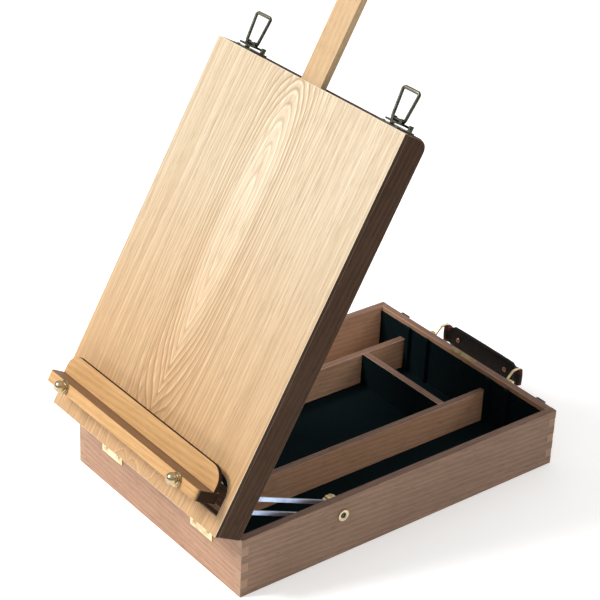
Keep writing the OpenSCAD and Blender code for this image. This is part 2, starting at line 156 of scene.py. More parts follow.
# How far edges are rounded, in mm.
BOX_SOFT = 0.45
RAIL_SOFT = 0.8
END_SOFT = 0.5
PANEL_SOFT = 0.6
STICK_SOFT = 0.7
LEDGE_SOFT = 0.8
RIM_SOFT = 0.2
CLEAT_SOFT = 0.6
PLATE_SOFT = 0.3
KNURL_SOFT = 0.5
FITTINGS = (("box_leaf", 0.25), ("lid_leaf", 0.25), ("handle_post", 0.4), ("stay_bolt", 0.35),
            ("stay_pivot", 0.4), ("ledge_bolt", 0.4), ("stay_nut", 0.45))

# The small waves of the felt: how often and how finely it is divided, and how deep it gives, in metres.
FELT_ROUNDS = 6
FELT_STEP = 0.009
FELT_UNEVEN = 0.0003
FELT_WAVES = 140

# The handle strap, in mm: places along it are counted from its middle, heights and thicknesses are halves.
STRAP_LOOP = 57
LOOP_LONG = 8
LOOP_THICK = 4.0
STRAP_NECK = 45
STRAP_NECK_IN = 3.2
NECK_LONG = 6
STRAP_HIGH = 12
STRAP_THICK = 2.3
STRAP_TIP = 0.35
STRAP_BOW = 0.9
STRAP_PAD = 0.5
STRAP_WEAR = 0.18
STRAP_STEPS = 76
END_STEPS = 5
STRAP_SKIVE = 0.4
STRAP_CORNER = ((0.62, 0.995), (0.2, 1.0))
WEAR_WAVES = 0.09
WEAR_PLACE = (0.3, 0.7)
RED_LOOP = 6
RED_UNDER = 10.5
RED_HALF = 2.6
STRAP_MARKS = (0.0, 0.35, 0.62, 0.78, 0.82, 0.86, 0.93, 0.975)
STRAP_RIVET = 37
STRAP_RIVET_BOW = 0.6
RIVET_SEAT = 2.4
STITCH_LINE = 0.82
STITCH_DEPTH = 0.45
STITCH_GAP = 4.6
STITCH_SIZE = (0.32, 0.32, 1.45)
STITCHES_EACH_WAY = 9

# Turned pieces, in mm: (radius, height).
KNOB_PROFILE = [(0, 0.2), (6.7, 0.2), (7.0, 0.5), (7.0, 1.1), (6.7, 1.4), (5.0, 1.7), (4.5, 2.3), (4.6, 3.0),
                (5.3, 3.7), (5.75, 4.9), (5.85, 6.2), (5.7, 7.6), (5.2, 9.0), (4.3, 10.3), (3.0, 11.3),
                (1.5, 11.9), (0, 12.1)]
BAR_PROFILE = [(0, -9.6), (1.4, -9.6), (1.8, -9), (1.85, 0), (1.8, 9), (1.4, 9.6), (0, 9.6)]
PIN_PROFILE = [(0, -1.2), (2.1, -1.2), (2.3, -0.9), (2.3, 0.6), (1.6, 0.9), (1.6, 9.6), (1.3, 10), (0, 10)]
RIVET_PROFILE = [(0, 0), (2.7, 0), (2.85, 0.4), (2.3, 1.0), (1.1, 1.35), (0, 1.45)]

# Bent wire, in mm: the bail of a catch as (across, up) from its pivots, and the ring of a handle end.
WIRE_ROUND = 5
CORNER_STEPS = 4
BAIL_CORNERS = [(-8.2, 0), (8.2, 0), (10.9, 28.6), (-10.9, 28.6)]
BAIL_WIRE = 1.6
BAIL_CORNER = 2.6
BAIL_BAR = 28.9
RING_WIRE = 1.3
RING_CORNER = 2.2
RING_END = 2.3
RING_HALF = 10.7
RING_OUT = 8.4

# A screw head as shares of its radius, where it is cut into strips, and its rim in mm.
SCREW_CUTS = (-1, -0.8, -0.5, -0.17, -0.15, 0.15, 0.17, 0.5, 0.8, 1)
SCREW_STEPS = 14
SCREW_RISE = 0.42
SCREW_RIM = 0.3
SCREW_WELD = 1e-7
SLOT_HALF = 0.16
SLOT_DEPTH = 0.5

# Radii of the screw heads, in mm.
LEAF_SCREW = 2.6
CATCH_SCREW = 2.2
KEEPER_SCREW = 2.0
POST_SCREW = 2.2
BOLT_SLOT = 3.2

# Where the smaller screws and the knobs sit, in metres from the edges or the middle of their plates.
KNOB_SEAT = 0.0002
BAIL_PIVOT = 0.0012
PLATE_SEAT = 0.0012
PLATE_SCREW_SIDE = 0.0096
PLATE_SCREW_DOWN = 0.0042
KEEPER_SCREWS = ((-0.0035, 0.0042), (0.0035, 0.0106))
POST_SEAT = 0.0015
POST_SCREW_UP = 0.004
BOLT_SEAT = 0.00075
BOLT_TURN = 0.6

# Screws of the hinge leaves, in metres: shares of a leaf's height, its height, how far to each side, and
# how deep each row is seated.
LEAF_HOLES = (0.22, 0.64)
LEAF_HIGH = 0.026
LEAF_HALF = 0.0105
SCREW_OUT = -0.0021
LID_SCREW_OUT = -0.0008

# How the slots of the leaf screws are turned, in radians.
LEAN_FIRST = 0.5
LEAN_SIDE = 1.3
LEAN_ROW = 0.8
LEAN_LID = 1.0


# ---------------------------------------------------------------- shader helpers

def new_material(name):
    """A material with its node tree and its shader."""
    material = bpy.data.materials.new(name)
    material.use_nodes = True
    return material, material.node_tree, material.node_tree.nodes["Principled BSDF"]


def add(tree, kind, links=(), **values):
    """Adds one shader node. links maps an input to a socket; values set properties or inputs."""
    node = tree.nodes.new("ShaderNode" + kind)
    for key, value in values.items():
        if hasattr(node, key):
            setattr(node, key, value)
        else:
            node.inputs[key.replace("_", " ")].default_value = value
    for key, socket in dict(links).items():
        tree.links.new(socket, node.inputs[key])
    return node


def math_node(tree, operation, a, b=None, c=None):
    """One arithmetic step; each operand may be a number or a socket."""
    node = tree.nodes.new("ShaderNodeMath")
    node.operation = operation
    for i, value in enumerate(v for v in (a, b, c) if v is not None):
        if isinstance(value, (int, float)):
            node.inputs[i].default_value = value
        else:
            tree.links.new(value, node.inputs[i])
    return node.outputs[0]


def ramp(tree, factor, stops):
    """Colours read off a factor, from (position, colour) stops."""
    node = tree.nodes.new("ShaderNodeValToRGB")
    elements = node.color_ramp.elements
    for i, (position, colour) in enumerate(stops):
        element = elements[i] if i < 2 else elements.new(position)
        element.position = position
        element.color = (*colour, 1)
    tree.links.new(factor, node.inputs[0])
    return node.outputs[0]


def mix(tree, factor, a, b, blend="MIX"):
    """Colour a turned towards colour b by factor; each may be a value or a socket."""
    node = tree.nodes.new("ShaderNodeMix")
    node.data_type = "RGBA"
    node.blend_type = blend
    for socket, value in ((node.inputs[0], factor), (node.inputs[6], a), (node.inputs[7], b)):
        if isinstance(value, (int, float)):
            socket.default_value = value
        elif isinstance(value, tuple):
            socket.default_value = (*value, 1)
        else:
            tree.links.new(value, socket)
    return node.outputs[2]


def toned(colour, share):
    """A darker or lighter version of a colour, kept within range."""
    return tuple(min(1, c * share) for c in colour)


def bump(tree, bsdf, height, distance, strength):
    """Relief on the surface, distance in metres."""
    node = add(tree, "Bump", {"Height": height}, Distance=distance, Strength=strength)
    tree.links.new(node.outputs[0], bsdf.inputs["Normal"])


def grain_space(tree, on_lid, across):
    """Object coordinates turned so that Y runs along the grain, from the hinge pins."""
    place = add(tree, "TexCoord")
    turn = (-LID_ANGLE if on_lid else 0.0, 0.0, math.pi / 2 if across else 0.0)
    spin = Matrix.Rotation(turn[2], 3, "Z") @ Matrix.Rotation(turn[0], 3, "X")
    move = add(tree, "Mapping", {"Vector": place.outputs["Object"]})
    move.inputs["Rotation"].default_value = turn
    move.inputs["Location"].default_value = -(spin @ HINGE)
    normal = add(tree, "Mapping", {"Vector": place.outputs["Normal"]}, vector_type="VECTOR")
    normal.inputs["Rotation"].default_value = turn
    return move.outputs[0], normal.outputs[0]


def stretched(tree, vector, scale):
    """Coordinates scaled per axis, so that a pattern draws out along the smallest."""
    node = add(tree, "Mapping", {"Vector": vector})
    node.inputs["Scale"].default_value = scale
    return node.outputs[0]


def noise(tree, vector, scale, detail=2.0, rough=0.5, warp=0.0):
    """Cloudy noise, scale in waves per metre."""
    node = add(tree, "TexNoise", {"Vector": vector}, Scale=scale, Detail=detail, Roughness=rough,
               Distortion=warp)
    return node.outputs[0]


def scaled(tree, value, by, plus=0.0):
    """The value times by, and plus added; both may be a number or a socket."""
    return math_node(tree, "MULTIPLY_ADD", value, by, plus)


def rising(tree, value, start, end):
    """Black up to start, white from end."""
    return ramp(tree, value, ((start, (0, 0, 0)), (end, (1, 1, 1))))


def falling(tree, value, start, end):
    """White up to start, black from end."""
    return ramp(tree, value, ((start, (1, 1, 1)), (end, (0, 0, 0))))


# ---------------------------------------------------------------- materials

def wood(name, light, dark, on_lid=False, across=False, ring=0.006, pores=0.4, rough=0.5, contrast=0.5,
         edge_wear_and_shade=1.0, end_tone=0.9, gloss=0.3):
    """Straight-grained wood: bands of early and late wood, fibres, pore dashes and mottling."""
    material, tree, bsdf = new_material(name)
    space, normal = grain_space(tree, on_lid, across)
    slow = stretched(tree, space, (1, 0.05, 1))
    wave = add(tree, "TexWave", {"Vector": slow}, wave_type="BANDS", bands_direction="DIAGONAL",
               Scale=2 * math.pi / 10 / ring, Distortion=5.0, Detail=3.0, Detail_Scale=1.6)
    drift = noise(tree, stretched(tree, space, (1, 0.16, 1)), scale=22, detail=2)
    fibre = noise(tree, stretched(tree, space, (1, 0.025, 1)), scale=1500, detail=3, rough=0.7)
    dash = noise(tree, stretched(tree, space, (1, 0.07, 1)), scale=1100, detail=2, rough=0.6)
    blotch = noise(tree, space, scale=14, detail=3)

    bands = scaled(tree, drift, by=1 - contrast)
    tone = scaled(tree, wave.outputs["Fac"], by=contrast, plus=bands)
    colour = mix(tree, tone, dark, light)
    colour = mix(tree, scaled(tree, fibre, by=0.55, plus=-0.05), colour, dark, "MULTIPLY")
    pore = rising(tree, dash, 0.56, 0.66)
    colour = mix(tree, scaled(tree, pore, by=pores), colour, toned(dark, 0.45))
    colour = mix(tree, scaled(tree, blotch, by=0.35), colour, toned(light, 0.72), "MULTIPLY")

    # Faces cut across the grain take the end colour; on the ledge's beech a very low end tone paints shade there.
    grainwise = math_node(tree, "ABSOLUTE", add(tree, "SeparateXYZ", {"Vector": normal}).outputs[1])
    end = rising(tree, grainwise, 0.6, 0.85)
    speckle = noise(tree, space, scale=900, detail=2)
    end_grain_and_shade = mix(tree, speckle, toned(dark, 0.6 * end_tone), toned(dark, 1.2 * end_tone))
    colour = mix(tree, scaled(tree, end, by=0.96), colour, end_grain_and_shade)
    # This share moves the colour halfway to the light tone: above 1 for worn, lighter edges, below 1 on the
    # ledge's beech, where it is painted shade.
    if edge_wear_and_shade != 1.0:
        colour = mix(tree, 0.5, colour, toned(light, edge_wear_and_shade))

    tree.links.new(colour, bsdf.inputs["Base Color"])
    tree.links.new(scaled(tree, pore, by=0.2, plus=rough), bsdf.inputs["Roughness"])
    bsdf.inputs["Specular IOR Level"].default_value = gloss
    bump(tree, bsdf, scaled(tree, pore, by=-0.8, plus=fibre), distance=0.0004, strength=0.45)
    return material


def ring_radius(tree, space):
    """Distance from the heart of the figure: rings close along the lid and run straight at the sides."""
    wobble = noise(tree, stretched(tree, space, (1, 0.3, 1)), scale=42, detail=3, rough=0.55)
    sway = noise(tree, stretched(tree, space, (1, 0.4, 1)), scale=8, detail=2)
    split = add(tree, "SeparateXYZ", {"Vector": space})
    x = math_node(tree, "SUBTRACT", split.outputs[0], LENS_X)
    x = math_node(tree, "ADD", x, scaled(tree, sway, by=0.02, plus=-0.01))
    along = math_node(tree, "SUBTRACT", split.outputs[1], LENS_ALONG)
    back = scaled(tree, along, by=-1.0)
    upper = rising(tree, split.outputs[1], LENS_ALONG, LENS_ALONG + 0.08)
    blunt = scaled(tree, upper, by=LENS_ARCH - LENS_POINT, plus=LENS_POINT)
    blunt = math_node(tree, "MULTIPLY", blunt, blunt)
    side = math_node(tree, "SQRT", scaled(tree, x, by=x, plus=blunt))
    over = math_node(tree, "POWER", math_node(tree, "MAXIMUM", along, 0.0), ARCH_POWER)
    under = math_node(tree, "POWER", math_node(tree, "MAXIMUM", back, 0.0), POINT_POWER)
    closing = scaled(tree, under, by=LENS_HALF / LENS_REACH ** POINT_POWER)
    closing = scaled(tree, over, by=LENS_HALF / LENS_REACH ** ARCH_POWER, plus=closing)
    offset = math_node(tree, "DIVIDE", x, LENS_SPREAD)
    spread = scaled(tree, offset, by=offset, plus=1.0)
    radius = math_node(tree, "ADD", side, math_node(tree, "DIVIDE", closing, spread))
    radius = math_node(tree, "ADD", radius, scaled(tree, wobble, by=0.0036, plus=-0.0018))
    return radius, split.outputs[1]


def ring_tone(tree, radius):
    """Light and dark of one ring after another, fainter away from the heart."""
    place = scaled(tree, radius, by=RING_UNEVEN)
    uneven = add(tree, "TexNoise", {"W": place}, noise_dimensions="1D", Scale=1.0)
    turns = math_node(tree, "ADD", math_node(tree, "DIVIDE", radius, RING_PITCH), uneven.outputs[0])
    saw = math_node(tree, "FRACT", turns)
    rings = ramp(tree, saw, [(place, (tone,) * 3) for place, tone in RING_STOPS])
    fade = ramp(tree, radius, [(place, (tone,) * 3) for place, tone in FADE_STOPS])
    return mix(tree, fade, (RING_REST,) * 3, rings)


def cathedral_ash(name, light, dark):
    """Flat-sawn ash: long rings that close in points up the middle, straight lines to the sides."""
    material, tree, bsdf = new_material(name)
    space, _ = grain_space(tree, True, False)
    radius, along = ring_radius(tree, space)
    fibre = noise(tree, stretched(tree, space, (1, 0.03, 1)), scale=1200, detail=3, rough=0.7)
    streak = noise(tree, stretched(tree, space, (1, 0.012, 1)), scale=330, detail=3, rough=0.62)
    dash = noise(tree, stretched(tree, space, (1, 0.06, 1)), scale=700, detail=2, rough=0.6)
    blotch = noise(tree, space, scale=8, detail=2)

    colour = mix(tree, ring_tone(tree, radius), dark, light)
    colour = mix(tree, scaled(tree, streak, by=1.5, plus=-0.5), colour, toned(dark, 0.92))
    colour = mix(tree, scaled(tree, fibre, by=0.6, plus=-0.12), colour, toned(dark, 0.85))
    core = falling(tree, radius, 0.012, 0.026)
    colour = mix(tree, scaled(tree, core, by=0.3), colour, PALE_CORE)
    warm = falling(tree, along, 0.06, 0.30)
    colour = mix(tree, scaled(tree, warm, by=0.75), colour, WARM_LOW, "MULTIPLY")
    colour = mix(tree, scaled(tree, blotch, by=0.3), colour, WARM_PATCH, "MULTIPLY")
    pore = rising(tree, dash, 0.55, 0.66)
    colour = mix(tree, scaled(tree, pore, by=0.42), colour, toned(dark, 0.7))

    tree.links.new(colour, bsdf.inputs["Base Color"])
    tree.links.new(scaled(tree, pore, by=0.2, plus=0.42), bsdf.inputs["Roughness"])
    bump(tree, bsdf, scaled(tree, pore, by=-0.8, plus=fibre), distance=0.0003, strength=0.35)
    return material


def metal(name, colour, dull, rough, streaks=(1, 1, 1), blotch_scale=90):
    """Metal with tarnish patches; streaks draws the fine scratches out into a brushed finish."""
    material, tree, bsdf = new_material(name)
    place = add(tree, "TexCoord").outputs["Object"]
    patches = noise(tree, place, scale=blotch_scale, detail=4, rough=0.6)
    fine = noise(tree, stretched(tree, place, streaks), scale=2600, detail=2, rough=0.6)
    tarnish = rising(tree, patches, 0.42, 0.72)
    tree.links.new(mix(tree, tarnish, colour, dull), bsdf.inputs["Base Color"])
    bsdf.inputs["Metallic"].default_value = 1.0
    shine = scaled(tree, tarnish, by=0.18, plus=rough)
    tree.links.new(scaled(tree, fine, by=0.12, plus=shine), bsdf.inputs["Roughness"])
    bump(tree, bsdf, math_node(tree, "ADD", fine, patches), distance=0.0001, strength=0.25)
    return material


def felt_cloth(name, colour, lint):
    """Matted cloth with pale lint on its high spots and darker clumps."""
    material, tree, bsdf = new_material(name)
    place = add(tree, "TexCoord").outputs["Object"]
    matted = noise(tree, place, scale=700, detail=4, rough=0.7, warp=0.6)
    clumps = noise(tree, place, scale=60, detail=3)
    fuzz = scaled(tree, rising(tree, matted, 0.45, 0.75), by=0.6)
    base = mix(tree, fuzz, colour, lint)
    base = mix(tree, scaled(tree, clumps, by=0.5), base, toned(colour, 0.5))
    tree.links.new(base, bsdf.inputs["Base Color"])
    bsdf.inputs["Roughness"].default_value = 1.0
    bsdf.inputs["Specular IOR Level"].default_value = 0.04
    bsdf.inputs["Sheen Weight"].default_value = 0.015
    bsdf.inputs["Sheen Roughness"].default_value = 0.6
    bump(tree, bsdf, math_node(tree, "ADD", matted, clumps), distance=0.0008, strength=0.7)
    return material


def hide(name, colour, crease, gloss):
    """Leather: pebbled cells broken by finer creases."""
    material, tree, bsdf = new_material(name)
    place = add(tree, "TexCoord").outputs["Object"]
    cells = add(tree, "TexVoronoi", {"Vector": place}, feature="DISTANCE_TO_EDGE", Scale=620.0)
    edges = rising(tree, cells.outputs["Distance"], 0.0, 0.18)
    folds = noise(tree, stretched(tree, place, (1, 1, 3)), scale=120, detail=4, rough=0.6)
    shade = scaled(tree, math_node(tree, "SUBTRACT", 1.0, edges), by=0.5)
    base = mix(tree, shade, colour, crease)
    base = mix(tree, scaled(tree, folds, by=0.4), base, crease)
    tree.links.new(base, bsdf.inputs["Base Color"])
    tree.links.new(scaled(tree, folds, by=0.25, plus=gloss), bsdf.inputs["Roughness"])
    bsdf.inputs["Specular IOR Level"].default_value = 0.22
    bump(tree, bsdf, scaled(tree, folds, by=0.6, plus=edges), distance=0.0004, strength=0.5)
    return material


def floor_paint(name, colour, mottled):
    """A pale matt floor that glows a little, so that it stays as light as the backdrop."""
    material, tree, bsdf = new_material(name)
    place = add(tree, "TexCoord").outputs["Object"]
    mottle = noise(tree, place, scale=3, detail=3)
    base = mix(tree, scaled(tree, mottle, by=0.1), colour, mottled)
    tree.links.new(base, bsdf.inputs["Base Color"])
    bsdf.inputs["Roughness"].default_value = 0.8
    bsdf.inputs["Emission Color"].default_value = (1, 1, 1, 1)
    bsdf.inputs["Emission Strength"].default_value = 0.3
    return material


walnut_long = wood("walnut_long", WALNUT_LIGHT, WALNUT_DARK)
walnut_cross = wood("walnut_cross", WALNUT_LIGHT, WALNUT_DARK, across=True)
# Painted shade on the up-facing faces of the boards.
walnut_long_top_shade = wood("walnut_long_top_shade", TOP_SHADE_LIGHT, TOP_SHADE_DARK)
walnut_cross_top_shade = wood("walnut_cross_top_shade", TOP_SHADE_LIGHT, TOP_SHADE_DARK, across=True)
# Painted shade on the side walls.
walnut_side_shade = wood("walnut_side_shade", SIDE_SHADE_LIGHT, SIDE_SHADE_DARK, end_tone=1.7)
# Painted light on the inside faces of the box.
walnut_inside_lit = wood("walnut_inside_lit", INSIDE_LIT_LIGHT, INSIDE_LIT_DARK)
walnut_long_edge = wood("walnut_long_edge", WALNUT_LIGHT, WALNUT_DARK, edge_wear_and_shade=0.85)
walnut_cross_edge = wood("walnut_cross_edge", WALNUT_LIGHT, WALNUT_DARK, across=True, edge_wear_and_shade=0.85)
rail_long = wood("rail_long", RAIL_LIGHT, RAIL_DARK, on_lid=True, rough=0.7, gloss=0.02)
rail_cross = wood("rail_cross", RAIL_LIGHT, RAIL_DARK, on_lid=True, across=True, rough=0.7, gloss=0.02)
rail_long_edge = wood("rail_long_edge", RAIL_LIGHT, RAIL_DARK, on_lid=True, edge_wear_and_shade=1.4)
rail_cross_edge = wood("rail_cross_edge", RAIL_LIGHT, RAIL_DARK, on_lid=True, across=True, edge_wear_and_shade=1.4)
beech_long = wood("beech_long", MAST_LIGHT, MAST_DARK, on_lid=True, pores=0.2, contrast=0.4, end_tone=0.4)
# Painted shade: the near-nought end tone paints the ends of the ledge and of the mast bridge nearly black.
beech_cross = wood("beech_cross", BEECH_LIGHT, BEECH_DARK, on_lid=True, across=True, pores=0.2, contrast=0.4,
                   end_tone=0.09)
beech_long_edge = wood("beech_long_edge", MAST_LIGHT, MAST_DARK, on_lid=True, pores=0.2, contrast=0.4,
                       edge_wear_and_shade=1.1)
# Painted shade: darker bevelled edges and near-black ends on the ledge.
beech_cross_edge = wood("beech_cross_edge", BEECH_LIGHT, BEECH_DARK, on_lid=True, across=True, pores=0.2,
                        contrast=0.4, edge_wear_and_shade=0.5, end_tone=0.12)
# Painted shade on the shelf's face that looks up the lid.
beech_shelf_shade = wood("beech_shelf_shade", SHELF_SHADE_LIGHT, SHELF_SHADE_DARK, on_lid=True, across=True, pores=0.2, contrast=0.4,
                   end_tone=0.09)
# Painted shade on the ledge's edges and ends.
edge_shade = wood("edge_shade", EDGE_SHADE_LIGHT, EDGE_SHADE_DARK, on_lid=True, across=True, rough=0.7, gloss=0.04)
ash_panel = cathedral_ash("ash_panel", ASH_LIGHT, ASH_DARK)
ash_edge = wood("ash_edge", ASH_LIGHT, ASH_DARK, on_lid=True, pores=0.3, edge_wear_and_shade=1.15)
brass = metal("brass", (0.86, 0.74, 0.48), (0.58, 0.46, 0.26), 0.24)
brass_edge = metal("brass_edge", (0.95, 0.86, 0.64), (0.72, 0.6, 0.38), 0.2)
knob_brass = metal("knob_brass", (0.50, 0.40, 0.24), (0.28, 0.22, 0.12), 0.14)
dull_brass = metal("dull_brass", (0.36, 0.27, 0.13), (0.16, 0.12, 0.07), 0.45, blotch_scale=160)
old_brass = metal("old_brass", (0.09, 0.09, 0.07), (0.02, 0.022, 0.018), 0.27, blotch_scale=260)
old_brass_edge = metal("old_brass_edge", (0.22, 0.21, 0.155), (0.07, 0.07, 0.05), 0.3, blotch_scale=260)
steel = metal("steel", (0.55, 0.68, 0.92), (0.42, 0.52, 0.72), 0.3, streaks=(1, 0.02, 0.02))
steel_edge = metal("steel_edge", (0.8, 0.86, 0.95), (0.6, 0.66, 0.75), 0.22)
copper = metal("copper", (0.46, 0.25, 0.19), (0.26, 0.13, 0.09), 0.3)
felt = felt_cloth("felt", (0.0008, 0.0062, 0.0082), (0.0028, 0.0135, 0.0175))
leather = hide("leather", (0.0035, 0.003, 0.003), (0.0012, 0.001, 0.001), 0.42)
leather_edge = hide("leather_edge", (0.10, 0.008, 0.010), (0.03, 0.004, 0.004), 0.35)
thread = hide("thread", (0.02, 0.018, 0.016), (0.008, 0.007, 0.007), 0.6)


# ---------------------------------------------------------------- mesh helpers

def finish_mesh(piece, materials, body, smooth_deg=SMOOTH_DEG):
    """Shades a finished piece, gives it its materials and lets it ride on its body."""
    for material in materials:
        piece.data.materials.append(material)
    piece.data.shade_smooth()
    piece.data.set_sharp_from_angle(angle=math.radians(smooth_deg))
    weigh = piece.modifiers.new("weigh", "WEIGHTED_NORMAL")
    weigh.keep_sharp = True
    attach(piece, body)
    return piece


def new_piece(name, bm):
    """Turns a finished bmesh into an object of the scene."""
    mesh = bpy.data.meshes.new(name)
    bmesh.ops.recalc_face_normals(bm, faces=bm.faces)
    bm.to_mesh(mesh)
    bm.free()
    piece = bpy.data.objects.new(name, mesh)
    bpy.context.scene.collection.objects.link(piece)
    return piece


def cad_copy(node):
    """A copy of a CAD piece with its flat faces whole again."""
    bm = bmesh.new()
    bm.from_mesh(NODES[node].data)
    bmesh.ops.remove_doubles(bm, verts=bm.verts, dist=WELD)
    bmesh.ops.dissolve_limit(bm, angle_limit=math.radians(FLAT_DEG), verts=bm.verts, edges=bm.edges)
    return bm


def softened(node, width_mm, materials, segments=2):
    """A copy of a CAD piece with its hard edges rounded, shown in the piece's place."""
    bm = cad_copy(node)
    for face in bm.faces:
        face.material_index = 0
    sharp = math.radians(SHARP_DEG)
    hard = [e for e in bm.edges if len(e.link_faces) == 2 and e.calc_face_angle(0) > sharp]
    bmesh.ops.bevel(bm, geom=hard, offset=width_mm * MM, offset_type="OFFSET", segments=segments,
                    profile=0.5, affect="EDGES", clamp_overlap=True, material=len(materials) - 1)
    piece = new_piece(node + "_finish", bm)
    finish_mesh(piece, materials, BODY_OF[node])
    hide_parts(node)
    return piece


def repaint(piece, index, facing):
    """Gives the flat faces that look the given way another of the piece's materials."""
    for face in piece.data.polygons:
        if face.material_index == 0 and face.normal.dot(facing) > FACING:
            face.material_index = index


def lathe(name, profile_mm, origin, axis, materials, body, steps=48):
    """A turned piece: profile points are (radius, height) in mm, height along axis from origin."""
    axis = Vector(axis).normalized()
    turn = axis.to_track_quat("Z", "Y").to_matrix().to_4x4()
    bm = bmesh.new()
    rows = []
    for radius, height in profile_mm:
        if radius == 0:
            rows.append([bm.verts.new((0, 0, height * MM))])
            continue
        rows.append([bm.verts.new((radius * MM * math.cos(a), radius * MM * math.sin(a), height * MM))
                     for a in (2 * math.pi * i / steps for i in range(steps))])
    for low, high in zip(rows, rows[1:]):
        for i in range(steps):
            j = (i + 1) % steps
            ring = [low[i % len(low)], low[j % len(low)], high[j % len(high)], high[i % len(high)]]
            bm.faces.new(list(dict.fromkeys(ring)))
    bmesh.ops.transform(bm, matrix=Matrix.Translation(origin) @ turn, verts=bm.verts)
    piece = new_piece(name, bm)
    finish_mesh(piece, materials, body)
    return piece


def screw(name, origin, axis, across, radius_mm, material, body):
    """A domed slotted screw head, built as strips so that the slot is real geometry."""
    axis = Vector(axis).normalized()
    across = Vector(across).normalized()
    side = axis.cross(across)
    rise = radius_mm * SCREW_RISE
    bm = bmesh.new()
    grid = []
    for s in SCREW_CUTS:
        chord = math.sqrt(max(0.0, 1 - s * s))
        row = []
        for i in range(SCREW_STEPS + 1):
            t = -chord + 2 * chord * i / SCREW_STEPS
            height = rise * (1 - (s * s + t * t)) ** 0.5 if s * s + t * t < 1 else 0.0
            if abs(s) < SLOT_HALF:
                height = max(0.0, height - rise * SLOT_DEPTH)
            row.append(bm.verts.new(origin + (side * s + across * t) * radius_mm * MM + axis * height * MM))
        grid.append(row)
    for a, b in zip(grid, grid[1:]):
        for i in range(SCREW_STEPS):
            bm.faces.new((a[i], a[i + 1], b[i + 1], b[i]))
    bmesh.ops.remove_doubles(bm, verts=bm.verts, dist=SCREW_WELD)
    rim = [e for e in bm.edges if e.is_boundary]
    grown = bmesh.ops.extrude_edge_only(bm, edges=rim)
    down = [g for g in grown["geom"] if isinstance(g, bmesh.types.BMVert)]
    bmesh.ops.translate(bm, vec=axis * -SCREW_RIM * MM, verts=down)
    bmesh.ops.holes_fill(bm, edges=[e for e in bm.edges if e.is_boundary])
    piece = new_piece(name, bm)
    finish_mesh(piece, [material], body)
    return piece


def wire(name, points, radius_mm, material, body, corner_mm):
    """A closed loop of round wire through the given corner points, with rounded corners."""
    curve = bpy.data.curves.new(name, "CURVE")
    curve.dimensions = "3D"
    curve.bevel_depth = radius_mm * MM
    curve.bevel_resolution = WIRE_ROUND
    curve.use_fill_caps = True
    path = []
    count = len(points)
    for i, p in enumerate(points):
        a = p + (points[i - 1] - p).normalized() * corner_mm * MM
        b = p + (points[(i + 1) % count] - p).normalized() * corner_mm * MM
        for k in range(CORNER_STEPS + 1):
            t = k / CORNER_STEPS
            path.append(a * (1 - t) ** 2 + p * 2 * t * (1 - t) + b * t * t)
    spline = curve.splines.new("POLY")
    spline.points.add(len(path) - 1)
    for target, p in zip(spline.points, path):
        target.co = (*p, 1)
    spline.use_cyclic_u = True
    piece = bpy.data.objects.new(name, curve)
    bpy.context.scene.collection.objects.link(piece)
    curve.materials.append(material)
    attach(piece, body)
    return piece


def felt_lining(node):
    """A felt sheet in the place of a CAD lining, slightly uneven."""
    bm = cad_copy(node)
    bmesh.ops.triangulate(bm, faces=[f for f in bm.faces if len(f.verts) > 4])
    for _ in range(FELT_ROUNDS):
        long_edges = [e for e in bm.edges if e.calc_length() > FELT_STEP]
        bmesh.ops.subdivide_edges(bm, edges=long_edges, cuts=1, use_grid_fill=True)
    bmesh.ops.triangulate(bm, faces=bm.faces)
    bm.normal_update()
    for v in bm.verts:
        v.co -= v.normal * (0.5 + 0.5 * mnoise.noise(v.co * FELT_WAVES)) * FELT_UNEVEN
    piece = new_piece(node + "_cloth", bm)
    finish_mesh(piece, [felt], BODY_OF[node], smooth_deg=60)
    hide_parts(node)
    return piece


def eased(t):
    """0 to 1 with a soft start and a soft end."""
    t = min(1.0, max(0.0, t))
    return t * t * (3 - 2 * t)


def strap_shape(u):
    """Half height and half thickness of the strap in mm, at a place u mm from its middle."""
    a = abs(u)
    half_height = STRAP_HIGH - STRAP_NECK_IN * eased((a - STRAP_NECK) / NECK_LONG)
    half_thick = STRAP_THICK + (LOOP_THICK - STRAP_THICK) * eased((a - STRAP_LOOP + LOOP_LONG) / NECK_LONG)
    if a > STRAP_LOOP:
        half_thick = math.sqrt(max(0.0, LOOP_THICK ** 2 - (a - STRAP_LOOP) ** 2))
    return half_height, max(half_thick, STRAP_TIP)


def strap_bow(u):
    """How far the strap's middle stands out in mm, at a place u mm from its middle."""
    if abs(u) >= STRAP_LOOP:
        return 0.0
    return STRAP_BOW * math.cos(u / STRAP_LOOP * math.pi / 2)


def strap_section(u):
    """One ring of (across, up) points in mm: two padded faces with a pressed line inside each edge."""
    half_height, half_thick = strap_shape(u)
    face = []
    for mark in STRAP_MARKS:
        pad = STRAP_PAD * (1 - (mark / STITCH_LINE) ** 2) if mark < STITCH_LINE else 0.0
        groove = -STITCH_DEPTH if mark == STITCH_LINE else 0.0
        face.append((half_thick - STRAP_SKIVE + pad + groove, mark * half_height))
    corner = [(half_thick * across, half_height * up) for across, up in STRAP_CORNER]
    quarter = face + corner
    outer = [(y, -z) for y, z in reversed(quarter[1:])] + quarter
    inner = [(-y, z) for y, z in reversed(quarter)] + [(-y, -z) for y, z in quarter[1:]]
    return outer + inner


